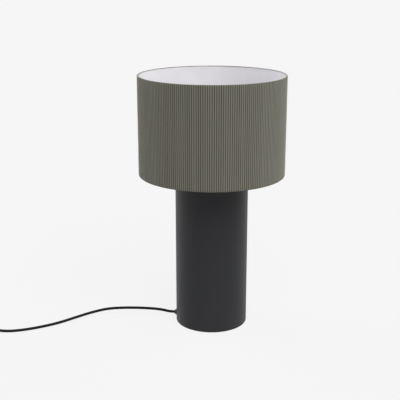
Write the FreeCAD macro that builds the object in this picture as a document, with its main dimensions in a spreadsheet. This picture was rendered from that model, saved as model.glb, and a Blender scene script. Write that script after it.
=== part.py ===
import FreeCAD, Part
import math
import os
import re
import Sketcher
from FreeCAD import Placement, Rotation, Vector

os.makedirs("parts", exist_ok=True)

# Table lamp: a plain metal cylinder that carries a large drum shade of ribbed cloth.
# Frame: millimetres, +Z up, origin on the table under the middle of the body.
# The viewer stands at -Y, and the mains lead leaves the body at -X.

doc = FreeCAD.newDocument("TableLamp")

# Driving dimensions, in millimetres, degrees and counts
SIZES = {
    # body
    "tube_radius": 75,
    "tube_wall": 1.2,
    "tube_lift": 1,
    "body_height": 332,
    "top_thick": 1.6,
    "top_flange": 12,
    "weld_gap": 0.1,
    # base
    "pad_thick": 1.5,
    "pad_inset": 3,
    "plate_thick": 2.5,
    "plate_gap": 0.6,
    "weight_thick": 24,
    "weight_room": 2.5,
    "groove_room": 2,
    "lug_thick": 2,
    "lug_reach": 10,
    "lug_hole_inset": 6,
    "lug_height": 16,
    "lug_angle": 14,
    "lug_count": 3,
    "base_screw": 2,
    "base_screw_head": 3.5,
    "base_screw_length": 9,
    "weight_screw": 2.5,
    "weight_screw_head": 4.2,
    "weight_screw_length": 18,
    "weight_screw_count": 3,
    "screw_socket": 1.2,
    "thread_gap": 0.05,
    "hole_gap": 0.2,
    # mains lead and its gland
    "cord_radius": 2.9,
    "cord_gap": 0.05,
    "exit_turn": 6,
    "gland_clear": 2,
    "gland_wall": 1.9,
    "gland_lip": 1.9,
    "gland_lip_thick": 1.3,
    "gland_nose": 3.4,
    "gland_nose_step": 1,
    "gland_nose_tip": 1.4,
    "gland_bite": 0.6,
    "gland_barb_length": 9,
    "gland_snap": 0.4,
    "lead_bend": 16,
    # fixing tube through the top plate
    "nipple_radius": 5,
    "nipple_room": 0.9,
    "nipple_rise": 10,
    "nipple_tail": 3,
    "nut_radius": 8.1,
    "nut_thick": 5,
    "washer_radius": 9,
    "washer_thick": 1,
    # lampholder
    "cap_foot": 12,
    "cap_step": 0.8,
    "cap_taper": 14,
    "cap_wall": 2,
    "cap_ledge": 4,
    "cap_grip": 11,
    "wire_space": 6,
    "insert_stand": 3,
    "shell_radius": 19.7,
    "collar_reach": 4.3,
    "collar_thick": 3,
    "sleeve_gap": 0.3,
    "sleeve_thick": 0.5,
    "sleeve_top_gap": 2,
    "strip_length": 16,
    "strip_width": 5,
    "strip_thick": 0.6,
    "rivet_radius": 2.6,
    "rivet_height": 1.4,
    "terminal_room": 2.7,
    "terminal_screw": 1.5,
    "terminal_head": 2.8,
    "terminal_head_thick": 1.8,
    "terminal_length": 7,
    "core_radius": 1,
    "core_gap": 0.25,
    # shade
    "shade_radius": 150,
    "shade_height": 202,
    "shade_overlap": 8,
    "rib_pitch": 4.25,
    "rib_height": 1.2,
    "rib_groove": 0.7,
    "cover_thick": 1,
    "lining_thick": 0.6,
    "glue_gap": 0.1,
    "cover_stand": 0.5,
    "band_thick": 0.5,
    "band_height": 10,
    "hoop_wire": 1.75,
    "arm_wire": 2,
    "arm_count": 3,
    "arm_room": 1,
    "arm_overhang": 3,
    "arm_bend": 12,
    "fitter_room": 1.3,
    "fitter_width": 9,
    "fitter_thick": 1.2,
    "ring_width": 8.3,
    "ring_height": 7,
    "ring_gap": 0.3,
    "ring_notch": 1.5,
    "ring_notches": 20,
    # bulb
    "contact_gap": 0.3,
    "collar_gap": 0.3,
    "tip_radius": 4.6,
    "tip_height": 2,
    "insulator_height": 4,
    "screw_radius": 13.1,
    "screw_depth": 0.8,
    "screw_skin": 0.5,
    "screw_height": 20,
    "screw_ridges": 5,
    "bulb_neck": 14.5,
    "bulb_radius": 30,
    "bulb_length": 108,
    "globe_drop": 17,
    "globe_wall": 1.2,
    "board_thick": 1.6,
    "board_gap": 0.3,
    # cord on the table: coil, tie, switch and plug
    "coil_x": -527.5,
    "coil_y": -157,
    "coil_inner": 20,
    "coil_gap": 0.5,
    "coil_turns": 3,
    "tie_width": 8,
    "tie_thick": 0.8,
    "tie_gap": 0.1,
    "switch_x": -494,
    "switch_y": -75,
    "switch_length": 62,
    "switch_width": 26,
    "switch_height": 16,
    "switch_wall": 1.8,
    "switch_split": 7.5,
    "switch_post": 3,
    "switch_post_x": 13,
    "switch_post_bite": 0.4,
    "switch_screw": 1.25,
    "switch_screw_head": 2.3,
    "switch_screw_sink": 1.5,
    "switch_screw_cover": 2.5,
    "rocker_length": 20,
    "rocker_width": 8,
    "rocker_depth": 2.2,
    "rocker_rise": 2.3,
    "rocker_dish": 0.6,
    "rocker_tilt": 7,
    "rocker_drop": 2.4,
    "rocker_gap": 0.5,
    "rocker_pin": 1.2,
    "rocker_pin_gap": 0.06,
    "rocker_pin_length": 1.4,
    "frame_margin": 2.2,
    "frame_depth": 4.4,
    "terminal_strip": 10,
    "terminal_strip_height": 4,
    "terminal_strip_thick": 0.8,
    "plug_width": 33,
    "plug_thick": 13.7,
    "plug_length": 33,
    "plug_shoulder": 15,
    "plug_waist": 14,
    "plug_round": 1.5,
    "relief_length": 22,
    "relief_base": 5.4,
    "relief_tip": 3.6,
    "pin_radius": 2,
    "pin_length": 19,
    "pin_spacing": 18.6,
    "pin_sleeve": 10,
    "pin_sleeve_wall": 0.6,
    "pin_root": 8,
}

sheet = doc.addObject("Spreadsheet::Sheet", "Sizes")
for row, (alias, number) in enumerate(SIZES.items(), 1):
    sheet.set(f"A{row}", alias)
    sheet.set(f"B{row}", str(number))
    sheet.setAlias(f"B{row}", alias)
doc.recompute()
size = {alias: float(sheet.get(alias)) for alias in SIZES}

Z_AXIS = Vector(0, 0, 1)
NODES = []


# Modelling helpers


def formula(text):
    """The same sum with every size name pointing at its cell in the sheet."""
    return re.sub(r"[a-z]\w*", lambda word: f"Sizes.{word[0]}" if word[0] in SIZES else word[0], text)


def bind(thing, **sums):
    """Bind properties of a document object to sums of sizes."""
    for name, text in sums.items():
        thing.setExpression(name, formula(text))
    return thing


def place(thing, x="0", y="0", z="0"):
    """Bind the place of an unturned object."""
    thing.setExpression("Placement.Base.x", formula(x))
    thing.setExpression("Placement.Base.y", formula(y))
    thing.setExpression("Placement.Base.z", formula(z))
    return thing


def cylinder(name, radius, height, x="0", y="0", z="0", at=None):
    """A cylinder that stands on x, y and z, or is turned to a placement of its own."""
    thing = doc.addObject("Part::Cylinder", name)
    bind(thing, Radius=radius, Height=height)
    if at is None:
        return place(thing, x, y, z)
    thing.Placement = at
    return thing


def box(name, length, width, height, x="0", y="0", z="0", at=None):
    """A box that is centred on x and y and stands on z, or is turned with its first corner placed."""
    thing = doc.addObject("Part::Box", name)
    bind(thing, Length=length, Width=width, Height=height)
    if at is None:
        return place(thing, f"{x} - ({length}) / 2", f"{y} - ({width}) / 2", z)
    thing.Placement = at
    return thing


def cut(name, base, *tools):
    """Take the tools away from the base, one after another."""
    for number, tool in enumerate(tools, 1):
        thing = doc.addObject("Part::Cut", name if number == len(tools) else f"{name}_cut{number}")
        thing.Base = base
        thing.Tool = tool
        base = thing
    return base


def fuse(name, *things):
    thing = doc.addObject("Part::MultiFuse", name)
    thing.Shapes = list(things)
    thing.Refine = True
    return thing


def solid(name, shape):
    """A document object for a shape that no ready feature makes."""
    thing = doc.addObject("Part::Feature", name)
    thing.Shape = shape
    return thing


def ring(name, outer, inner, height, z):
    """A plain ring about the lamp's axis."""
    rim = cylinder(f"{name}_rim", outer, height, z=z)
    bore = cylinder(f"{name}_bore", inner, height, z=z)
    return cut(name, rim, bore)


def node(label, thing, placement=None):
    """Name a finished sub-part."""
    thing.Label = label
    if placement is not None:
        thing.Placement = placement
    NODES.append((label, thing))
    return thing


def copies(name, pattern, placements):
    """One node of several equal solids, made from a pattern piece."""
    doc.recompute()
    return solid(name, Part.makeCompound([pattern.Shape.transformed(p.toMatrix()) for p in placements]))


def round_axis(count, radius, start, z):
    """Places evenly spaced about the lamp's axis, the first at an angle of start degrees."""
    turns = [start + 360.0 * i / count for i in range(int(count))]
    outwards = Placement(Vector(radius, 0, z), Rotation())
    return [Placement(Vector(), Rotation(Z_AXIS, turn)) * outwards for turn in turns]


def sketch_on(body, role, name):
    """A sketch on one of a body's own origin planes."""
    plane = next(p for p in body.Origin.OriginFeatures if p.Role == role)
    sketch = body.newObject("Sketcher::SketchObject", name)
    sketch.AttachmentSupport = (plane, [""])
    sketch.MapMode = "FlatFace"
    return sketch


def polygon(sketch, corners):
    """Draw a closed outline whose corners are each bound to two sums of sizes."""
    count = len(corners)
    rough_middle = Vector(20, 20, 0)
    rough_radius = 9
    turns = [2 * math.pi * i / count for i in range(count)]
    rough = [rough_middle + Vector(math.cos(a), math.sin(a), 0) * rough_radius for a in turns]
    for i in range(count):
        sketch.addGeometry(Part.LineSegment(rough[i], rough[(i + 1) % count]), False)
    for i in range(count):
        sketch.addConstraint(Sketcher.Constraint("Coincident", i, 2, (i + 1) % count, 1))
    for i, corner in enumerate(corners):
        for kind, text, axis, start in zip(("DistanceX", "DistanceY"), corner, (-2, -1), rough[i]):
            if text == "0":
                sketch.addConstraint(Sketcher.Constraint("PointOnObject", i, 1, axis))
                continue
            number = sketch.addConstraint(Sketcher.Constraint(kind, -1, 1, i, 1, start))
            sketch.setExpression(f"Constraints[{number}]", formula(text))


def turned(name, corners):
    """A body turned about the Z axis from an outline of (radius, height) corners."""
    body = doc.addObject("PartDesign::Body", name)
    sketch = sketch_on(body, "XZ_Plane", f"{name}_outline")
    polygon(sketch, corners)
    turn = body.newObject("PartDesign::Revolution", f"{name}_turn")
    turn.Profile = sketch
    turn.ReferenceAxis = (sketch, ["V_Axis"])
    turn.Angle = 360
    body.Tip = turn
    return body


def extruded(name, corners, depth, direction):
    """A prism from numeric corner points."""
    face = Part.Face(Part.makePolygon([*corners, corners[0]]))
    return solid(name, face.extrude(direction * depth))


def swept(edges, radius):
    """A round tube along a path of lines and arcs, and the path's length."""
    path = Part.Wire(edges)
    start = edges[0].valueAt(edges[0].FirstParameter)
    heading = edges[0].tangentAt(edges[0].FirstParameter)
    section = Part.Wire([Part.makeCircle(radius, start, heading)])
    tube = path.makePipeShell([section], True, False)
    expected = math.pi * radius ** 2 * path.Length
    assert abs(tube.Volume / expected - 1) < 0.01, "a tube's volume does not fit its length"
    return tube, path.Length


# Each arc of a cord takes this share of the shorter run beside it
ARC_SHARE = 0.45


def rounded(points, label):
    """Straight runs with a tangent arc at each inner point, as large as the runs allow."""
    edges = []
    radii = []
    last = points[0]
    for before, corner, after in zip(points, points[1:], points[2:]):
        inward = (before - corner).normalize()
        outward = (after - corner).normalize()
        reach = ARC_SHARE * min((before - corner).Length, (after - corner).Length)
        half = (math.pi - inward.getAngle(outward)) / 2
        radii.append(reach / math.tan(half))
        start = corner + inward * reach
        end = corner + outward * reach
        middle = (start + end) * 0.5
        sag = reach * math.cos(half) * math.tan(half / 2)
        crest = middle + (corner - middle).normalize() * sag
        edges.append(Part.LineSegment(last, start).toShape())
        edges.append(Part.Arc(start, crest, end).toShape())
        last = end
    edges.append(Part.LineSegment(last, points[-1]).toShape())
    print(label, "arc radii", [round(r, 1) for r in radii])
    return edges


# Sums that several pieces share
plate_top = "pad_thick + plate_thick"
tube_bore = "tube_radius - tube_wall"
fitted = "tube_radius - tube_wall - weld_gap"
gland_neck = "cord_radius + gland_wall"
gland_barb = f"{gland_neck} + gland_bite"
gland_half = size["cord_radius"] + size["gland_wall"] + size["gland_bite"]
exit_height = size["pad_thick"] + size["plate_thick"] + size["gland_clear"] + gland_half
exit_aim = Placement(Vector(), Rotation(Z_AXIS, -size["exit_turn"]))

# Body tube: rolled steel, with a hole low down for the lead's gland
tube_length = "body_height - tube_lift"
tube_outside = cylinder("tube_outside", "tube_radius", tube_length, z="tube_lift")
tube_inside = cylinder("tube_inside", tube_bore, tube_length, z="tube_lift")
outward = Rotation(Z_AXIS, Vector(-1, 0, 0))
hole_start = Vector(2 * size["tube_wall"] - size["tube_radius"], 0, exit_height)
gland_hole = cylinder("gland_hole", f"{gland_neck} + hole_gap", "4 * tube_wall",
                      at=exit_aim * Placement(hole_start, outward))
node("body_tube", cut("body_tube", tube_outside, tube_inside, gland_hole))

# Top plate: a pressed cap welded into the tube's upper end
node("top_plate", turned("top_plate", [
    ("nipple_radius + hole_gap", "body_height"),
    (fitted, "body_height"),
    (fitted, "body_height - top_flange"),
    (f"{fitted} - top_thick", "body_height - top_flange"),
    (f"{fitted} - top_thick", "body_height - top_thick"),
    ("nipple_radius + hole_gap", "body_height - top_thick"),
]))

# Foot pad: a soft disc that lifts the body's rim off the table
node("foot_pad", cylinder("foot_pad", f"{tube_bore} - pad_inset", "pad_thick"))

# Where the two sets of base screws sit: the first in the lugs, the others halfway across the weight
fitted_radius = size["tube_radius"] - size["tube_wall"] - size["weld_gap"]
weight_radius = fitted_radius - size["lug_reach"] - size["weight_room"]
weight_hole = size["lead_bend"] + size["cord_radius"] + size["groove_room"]
lug_places = round_axis(size["lug_count"], fitted_radius - size["lug_hole_inset"], 0, size["pad_thick"])
weight_turn = 30
weight_places = round_axis(size["weight_screw_count"], (weight_radius + weight_hole) / 2, weight_turn,
                           size["pad_thick"])


def countersunk(name, radius, head, length):
    """A countersunk screw with a socket, its head's face at height 0."""
    return turned(name, [
        ("0", "screw_socket"),
        ("screw_socket", "screw_socket"),
        ("screw_socket", "0"),
        (head, "0"),
        (radius, f"{head} - {radius}"),
        (radius, length),
        ("0", length),
    ])


def screw_hole(name, radius, head, places):
    """The countersunk holes that such screws pass through."""
    hole = turned(name, [
        ("0", "0"),
        (f"{head} + hole_gap", "0"),
        (f"{radius} + hole_gap", f"{head} - {radius}"),
        (f"{radius} + hole_gap", "plate_thick"),
        ("0", "plate_thick"),
    ])
    return copies(f"{name}_set", hole, places)


# Base plate: closes the tube from below, clear of the gland's inner end
plate_disc = cylinder("plate_disc", f"{tube_bore} - plate_gap", "plate_thick", z="pad_thick")
node("base_plate", cut(
    "base_plate", plate_disc,
    screw_hole("base_screw_hole", "base_screw", "base_screw_head", lug_places),
    screw_hole("weight_screw_hole", "weight_screw", "weight_screw_head", weight_places),
))
base_screw = countersunk("base_screw", "base_screw", "base_screw_head", "base_screw_length")
node("base_screws", copies("base_screws", base_screw, lug_places))
weight_screw = countersunk("weight_screw", "weight_screw", "weight_screw_head", "weight_screw_length")
node("weight_screws", copies("weight_screws", weight_screw, weight_places))

# Tube lugs: angle tabs welded inside the tube, which the base screws pull up to
lug_outline = turned("lug_outline", [
    (fitted, plate_top),
    (fitted, f"{plate_top} + lug_height"),
    (f"{fitted} - lug_thick", f"{plate_top} + lug_height"),
    (f"{fitted} - lug_thick", f"{plate_top} + lug_thick"),
    (f"{fitted} - lug_reach", f"{plate_top} + lug_thick"),
    (f"{fitted} - lug_reach", plate_top),
])
lug_turn = lug_outline.Tip
bind(lug_turn, Angle="lug_angle")
lug_turn.Midplane = True
lug_thread = cylinder("lug_thread", "base_screw + thread_gap", "lug_thick", x=f"{fitted} - lug_hole_inset",
                      z=plate_top)
tube_lug = cut("tube_lug", lug_outline, lug_thread)
node("tube_lugs", copies("tube_lugs", tube_lug, round_axis(size["lug_count"], 0, 0, 0)))

# Base weight: a cast disc with a groove below for the lead, which rises through its hole
weight_disc = cylinder("weight_disc", f"{fitted} - lug_reach - weight_room", "weight_thick", z=plate_top)
weight_bore = cylinder("weight_bore", "lead_bend + cord_radius + groove_room", "weight_thick", z=plate_top)
groove_half = size["cord_radius"] + size["groove_room"]
groove_corner = Vector(-size["tube_radius"], -groove_half, size["pad_thick"] + size["plate_thick"])
lead_groove = box("lead_groove", "tube_radius", "2 * (cord_radius + groove_room)",
                  f"gland_clear + {gland_barb} + cord_radius + groove_room",
                  at=exit_aim * Placement(groove_corner, Rotation()))
weight_thread = cylinder("weight_thread", "weight_screw + thread_gap", "weight_screw_length + hole_gap")
weight_threads = copies("weight_threads", weight_thread, weight_places)
node("base_weight", cut("base_weight", weight_disc, weight_bore, lead_groove, weight_threads))

# Cord gland: a snap-in strain relief, turned along its own axis and set into the wall
gland_inner = "gland_barb_length + gland_snap"
gland_face = f"{gland_inner} + tube_wall"
gland_bore = "cord_radius + cord_gap"
gland = turned("cord_gland", [
    (gland_bore, "0"),
    (gland_neck, "0"),
    (gland_barb, "gland_barb_length"),
    (gland_neck, "gland_barb_length"),
    (gland_neck, gland_face),
    (f"{gland_neck} + gland_lip", gland_face),
    (f"{gland_neck} + gland_lip", f"{gland_face} + gland_lip_thick"),
    (f"{gland_neck} + gland_nose_step", f"{gland_face} + gland_lip_thick"),
    ("cord_radius + gland_nose_tip", f"{gland_face} + gland_lip_thick + gland_nose"),
    (gland_bore, f"{gland_face} + gland_lip_thick + gland_nose"),
])
gland_depth = size["gland_barb_length"] + size["gland_snap"] + size["tube_wall"]
gland_start = Vector(-(size["tube_radius"] - gland_depth), 0, exit_height)
node("cord_gland", gland, exit_aim * Placement(gland_start, outward))

# Inner lead: through the gland, along the groove and up the middle to the lampholder
gland_reach = size["tube_radius"] + size["gland_lip_thick"] + size["gland_nose"]
bend = size["lead_bend"]
bend_centre = Vector(-bend, 0, exit_height + bend)
bend_start = Vector(-bend, 0, exit_height)
bend_middle = bend_centre + Vector(bend * math.sin(math.pi / 4), 0, -bend * math.cos(math.pi / 4))
bend_end = Vector(0, 0, exit_height + bend)
lead_top = size["body_height"] + size["nipple_rise"]
lead_edges = [
    Part.LineSegment(Vector(-gland_reach, 0, exit_height), bend_start).toShape(),
    Part.Arc(bend_start, bend_middle, bend_end).toShape(),
    Part.LineSegment(bend_end, Vector(0, 0, lead_top)).toShape(),
]
lead_tube = swept(lead_edges, size["cord_radius"])[0]
node("inner_lead", solid("inner_lead", lead_tube), exit_aim)

# Fixing tube: a hollow threaded nipple, its washer and nut under the top plate
under_top = "body_height - top_thick"
nut_base = f"{under_top} - washer_thick - nut_thick"
nipple_length = "nipple_rise + top_thick + washer_thick + nut_thick + nipple_tail"
node("nipple", ring("nipple", "nipple_radius", "cord_radius + nipple_room", nipple_length,
                    f"{nut_base} - nipple_tail"))
nut_prism = doc.addObject("Part::Prism", "nut_prism")
nut_prism.Polygon = 6
bind(nut_prism, Circumradius="nut_radius", Height="nut_thick")
place(nut_prism, z=nut_base)
nut_thread = cylinder("nut_thread", "nipple_radius + thread_gap", "nut_thick", z=nut_base)
node("nipple_nut", cut("nipple_nut", nut_prism, nut_thread))
node("nipple_washer", ring("nipple_washer", "washer_radius", "nipple_radius + hole_gap", "washer_thick",
                           f"{under_top} - washer_thick"))

# Lampholder cap: screws onto the nipple and stands on the top plate
insert_seat = "body_height + nipple_rise + wire_space"
shell_base = f"{insert_seat} + cap_grip"
cap_radius = "shell_radius + cap_step"
cap_bore = f"{cap_radius} - cap_wall"
node("holder_cap", turned("holder_cap", [
    ("nipple_radius + thread_gap", "body_height"),
    ("cap_foot", "body_height"),
    (cap_radius, "body_height + cap_taper"),
    (cap_radius, shell_base),
    (cap_bore, shell_base),
    (cap_bore, insert_seat),
    (f"{cap_bore} - cap_ledge", insert_seat),
    (f"{cap_bore} - cap_ledge", "body_height + nipple_rise"),
    ("nipple_radius + thread_gap", "body_height + nipple_rise"),
]))

# Lampholder insert: carries the contacts and the two wire terminals
insert_top = f"{shell_base} + insert_stand"
insert_block = cylinder("insert_block", f"{cap_bore} - hole_gap", "cap_grip + insert_stand", z=insert_seat)
terminal_seat = size["body_height"] + size["nipple_rise"] + size["wire_space"]
wire_room = size["shell_radius"] + size["cap_step"] - size["cap_wall"] - size["cap_ledge"]
terminal_offset = wire_room - size["terminal_head"] - size["terminal_room"]
both_sides = (1, -1)
terminal_places = [Placement(Vector(0, side * terminal_offset, terminal_seat), Rotation())
                   for side in both_sides]
terminal_thread = cylinder("terminal_thread", "terminal_screw + thread_gap", "terminal_length")
core_length = "wire_space + cap_grip / 2"
core_offset = size["core_radius"] + size["core_gap"]
core_places = [Placement(Vector(side * core_offset, 0, lead_top), Rotation()) for side in both_sides]
core_hole = cylinder("core_hole", "core_radius + thread_gap", core_length)
node("holder_insert", cut(
    "holder_insert", insert_block,
    copies("terminal_threads", terminal_thread, terminal_places),
    copies("core_holes", core_hole, core_places),
))
terminal_shank = cylinder("terminal_shank", "terminal_screw", "terminal_length")
terminal_cap = cylinder("terminal_cap", "terminal_head", "terminal_head_thick", z="-terminal_head_thick")
terminal_piece = fuse("terminal_piece", terminal_shank, terminal_cap)
node("terminal_screws", copies("terminal_screws", terminal_piece, terminal_places))
core_wire = cylinder("core_wire", "core_radius", core_length)
node("lead_cores", copies("lead_cores", core_wire, core_places))

# Lampholder shell: the collar that carries the shade, and the thread for its ring
sleeve_flange_top = f"{insert_top} + sleeve_thick"
sleeve_radius = "screw_radius + sleeve_gap"
sleeve_outside = f"{sleeve_radius} + sleeve_thick"
tip_base = f"{insert_top} + strip_thick + rivet_height + contact_gap"
screw_base = f"{tip_base} + tip_height + insulator_height"
screw_top = f"{screw_base} + screw_height"
shell_top = f"{screw_top} - collar_gap"
collar_radius = "shell_radius + collar_reach"
collar_top = f"{shell_base} + collar_thick"
node("holder_shell", turned("holder_shell", [
    (cap_bore, shell_base),
    (collar_radius, shell_base),
    (collar_radius, collar_top),
    ("shell_radius", collar_top),
    ("shell_radius", shell_top),
    (f"{sleeve_outside} + thread_gap", shell_top),
    (f"{sleeve_outside} + thread_gap", sleeve_flange_top),
    (cap_bore, sleeve_flange_top),
]))

# Screw sleeve: the thin metal side contact that takes the bulb's thread
node("screw_sleeve", turned("screw_sleeve", [
    (sleeve_radius, insert_top),
    (f"{cap_bore} - hole_gap", insert_top),
    (f"{cap_bore} - hole_gap", sleeve_flange_top),
    (sleeve_outside, sleeve_flange_top),
    (sleeve_outside, f"{shell_top} - sleeve_top_gap"),
    (sleeve_radius, f"{shell_top} - sleeve_top_gap"),
]))

# Centre contact: a spring strip on the insert with a rivet under the bulb's tip
contact_strip = box("contact_strip", "strip_length", "strip_width", "strip_thick", z=insert_top)
contact_rivet = cylinder("contact_rivet", "rivet_radius", "rivet_height", z=f"{insert_top} + strip_thick")
node("centre_contact", fuse("centre_contact", contact_strip, contact_rivet))

# Shade fitter: a flat ring that sits on the lampholder's collar
fitter_hole = "shell_radius + fitter_room"
node("fitter_ring", ring("fitter_ring", f"{fitter_hole} + fitter_width", fitter_hole, "fitter_thick",
                         collar_top))

# Shade ring: screws down on the lampholder over the fitter, with finger notches
ring_seat = f"{collar_top} + fitter_thick + ring_gap"
ring_rim = "shell_radius + ring_width"
shade_ring = turned("shade_ring", [
    ("shell_radius + thread_gap", ring_seat),
    (ring_rim, ring_seat),
    (ring_rim, f"{ring_seat} + ring_height"),
    ("shell_radius + thread_gap", f"{ring_seat} + ring_height"),
])
plain_ring = shade_ring.Tip
notch_sketch = sketch_on(shade_ring, "XY_Plane", "notch_sketch")
notch_offset = size["shell_radius"] + size["ring_width"]
notch_sketch.addGeometry(Part.Circle(Vector(notch_offset, 0, 0), Z_AXIS, size["ring_notch"]), False)
notch_sketch.addConstraint(Sketcher.Constraint("PointOnObject", 0, 3, -1))
notch_sketch.addConstraint(Sketcher.Constraint("DistanceX", -1, 1, 0, 3, notch_offset))
notch_sketch.addConstraint(Sketcher.Constraint("Radius", 0, size["ring_notch"]))
notch_sketch.setExpression("Constraints[1]", formula(ring_rim))
notch_sketch.setExpression("Constraints[2]", formula("ring_notch"))
notch = shade_ring.newObject("PartDesign::Pocket", "notch")
notch.Profile = notch_sketch
notch.Type = "ThroughAll"
notch.Midplane = True
doc.recompute()
notches = shade_ring.newObject("PartDesign::PolarPattern", "notches")
notches.Originals = [notch]
notches.Axis = (notch_sketch, ["N_Axis"])
notches.Angle = 360
bind(notches, Occurrences="ring_notches")
shade_ring.Tip = notches
doc.recompute()
least_cut = 0.005
assert shade_ring.Shape.Volume < (1 - least_cut) * plain_ring.Shape.Volume, "the ring's notches cut nothing"
node("shade_ring", shade_ring)

# Shade lining: a stiff white drum inside the cloth, with room between them for the top band
band_outside = "shade_radius - rib_height - cover_thick - glue_gap"
band_inside = f"{band_outside} - band_thick"
lining_outside = f"{band_inside} - glue_gap"
lining_inside = f"{lining_outside} - lining_thick"
lining_base = "body_height - shade_overlap + cover_stand"
lining_height = "shade_height - 2 * cover_stand"
node("shade_lining", ring("shade_lining", lining_outside, lining_inside, lining_height, lining_base))

# Top band: a flat steel hoop, hidden between the lining and the cloth, that keeps the upper rim round
band_base = f"{lining_base} + {lining_height} - band_height"
node("top_band", ring("top_band", band_outside, band_inside, "band_height", band_base))

# Bottom hoop: a wire ring inside the lining that keeps the lower rim round and takes the spider arms
bottom_hoop = doc.addObject("Part::Torus", "bottom_hoop")
bind(bottom_hoop, Radius1=f"{lining_inside} - glue_gap - hoop_wire", Radius2="hoop_wire")
node("bottom_hoop", place(bottom_hoop, z=f"{lining_base} + hoop_wire"))

# Shade cover: cloth with round upright ribs, a whole number of them round the drum
crest = size["shade_radius"]
root = crest - size["rib_height"]
shade_bottom = size["body_height"] - size["shade_overlap"]
rib_count = round(2 * math.pi * crest / size["rib_pitch"])
rib_angle = 2 * math.pi / rib_count
groove_angle = size["rib_groove"] / root


def around(radius, angle, z):
    """A point at an angle round the lamp's axis."""
    return Vector(radius * math.cos(angle), radius * math.sin(angle), z)


cover_edges = []
for rib in range(rib_count):
    first = rib * rib_angle + groove_angle / 2
    final = (rib + 1) * rib_angle - groove_angle / 2
    ends = [around(root, a, shade_bottom) for a in (first, final, final + groove_angle)]
    top = around(crest, (first + final) / 2, shade_bottom)
    cover_edges.append(Part.Arc(ends[0], top, ends[1]).toShape())
    cover_edges.append(Part.LineSegment(ends[1], ends[2]).toShape())
cover_back = Part.Wire([Part.makeCircle(root - size["cover_thick"], Vector(0, 0, shade_bottom))])
cover_face = Part.makeFace([Part.Wire(cover_edges), cover_back], "Part::FaceMakerBullseye")
node("shade_cover", solid("shade_cover", cover_face.extrude(Vector(0, 0, size["shade_height"]))))
print("shade ribs", rib_count)

# Spider arms: bent rods from under the fitter out and down to the bottom hoop
doc.recompute()
hoop_radius = bottom_hoop.Radius1.Value
hoop_height = bottom_hoop.Placement.Base.z
arm_height = doc.getObject("fitter_ring_rim").Placement.Base.z - size["arm_wire"]
arm_start = Vector(size["shell_radius"] + size["collar_reach"] + size["arm_room"], 0, arm_height)
fitter_rim = size["shell_radius"] + size["fitter_room"] + size["fitter_width"]
arm_knee = Vector(fitter_rim + size["arm_overhang"], 0, arm_height)
arm_end = Vector(hoop_radius, 0, hoop_height)
slope = (arm_end - arm_knee).getAngle(Vector(1, 0, 0))
knee_reach = size["arm_bend"] * math.tan(slope / 2)
knee_out = arm_knee + (arm_end - arm_knee).normalize() * knee_reach
knee_in = arm_knee - Vector(knee_reach, 0, 0)
knee_centre = knee_in - Vector(0, 0, size["arm_bend"])
knee_top = knee_centre + Vector(math.sin(slope / 2), 0, math.cos(slope / 2)) * size["arm_bend"]
arm_edges = [
    Part.LineSegment(arm_start, knee_in).toShape(),
    Part.Arc(knee_in, knee_top, knee_out).toShape(),
    Part.LineSegment(knee_out, arm_end).toShape(),
]
arm_rod = swept(arm_edges, size["arm_wire"])[0]
hoop_middle = Vector(0, 0, hoop_height)
hoop_room = Part.makeTorus(hoop_radius, size["hoop_wire"] + size["thread_gap"], hoop_middle, Z_AXIS)
shade_floor = Vector(0, 0, shade_bottom)
inside_hoop = Part.makeCylinder(hoop_radius, size["shade_height"], shade_floor, Z_AXIS)
spider_arm = solid("spider_arm", arm_rod.common(inside_hoop).cut(hoop_room))
node("spider_arms", copies("spider_arms", spider_arm, round_axis(size["arm_count"], 0, 0, 0)))

# Bulb: tip, insulator, screw cap, collar, board and globe, standing on the centre contact
globe_middle = f"{tip_base} + bulb_length - bulb_radius"
globe_base = f"{globe_middle} - globe_drop"
globe_rim = "sqrt(bulb_radius ^ 2 - globe_drop ^ 2)"
node("bulb_contact", turned("bulb_contact", [
    ("0", tip_base),
    ("tip_radius / 2", tip_base),
    ("tip_radius", f"{tip_base} + tip_height / 2"),
    ("tip_radius", f"{tip_base} + tip_height"),
    ("0", f"{tip_base} + tip_height"),
]))
screw_root = "screw_radius - screw_depth"
screw_lining = f"{screw_root} - screw_skin"
node("bulb_insulator", turned("bulb_insulator", [
    ("0", f"{tip_base} + tip_height"),
    ("tip_radius", f"{tip_base} + tip_height"),
    (screw_root, screw_base),
    ("0", screw_base),
]))
screw_corners = [(screw_lining, screw_base), (screw_root, screw_base)]
ridge_shape = ((0.3, "screw_radius"), (0.55, "screw_radius"), (0.85, screw_root))
for ridge in range(int(size["screw_ridges"])):
    for share, radius in ridge_shape:
        screw_corners.append((radius, f"{screw_base} + screw_height * {ridge + share} / screw_ridges"))
screw_corners += [(screw_root, screw_top), (screw_lining, screw_top)]
node("bulb_cap", turned("bulb_cap", screw_corners))
board_radius = f"{globe_rim} - globe_wall - board_gap"
flare_out = 0.3
flare_up = 0.45
node("bulb_collar", turned("bulb_collar", [
    ("0", screw_top),
    ("bulb_neck", screw_top),
    (f"bulb_neck + ({globe_rim} - bulb_neck) * {flare_out}",
     f"{screw_top} + ({globe_base} - ({screw_top})) * {flare_up}"),
    (globe_rim, globe_base),
    ("0", globe_base),
]))
node("bulb_board", cylinder("bulb_board", board_radius, "board_thick", z=globe_base))
globe_ball = doc.addObject("Part::Sphere", "globe_ball")
globe_hollow = doc.addObject("Part::Sphere", "globe_hollow")
bind(globe_ball, Radius="bulb_radius")
bind(globe_hollow, Radius="bulb_radius - globe_wall")
for ball in (globe_ball, globe_hollow):
    place(ball, z=globe_middle)
globe_below = cylinder("globe_below", "2 * bulb_radius", "2 * bulb_radius",
                       z=f"{globe_base} - 2 * bulb_radius")
node("bulb_globe", cut("bulb_globe", globe_ball, globe_hollow, globe_below))

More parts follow.
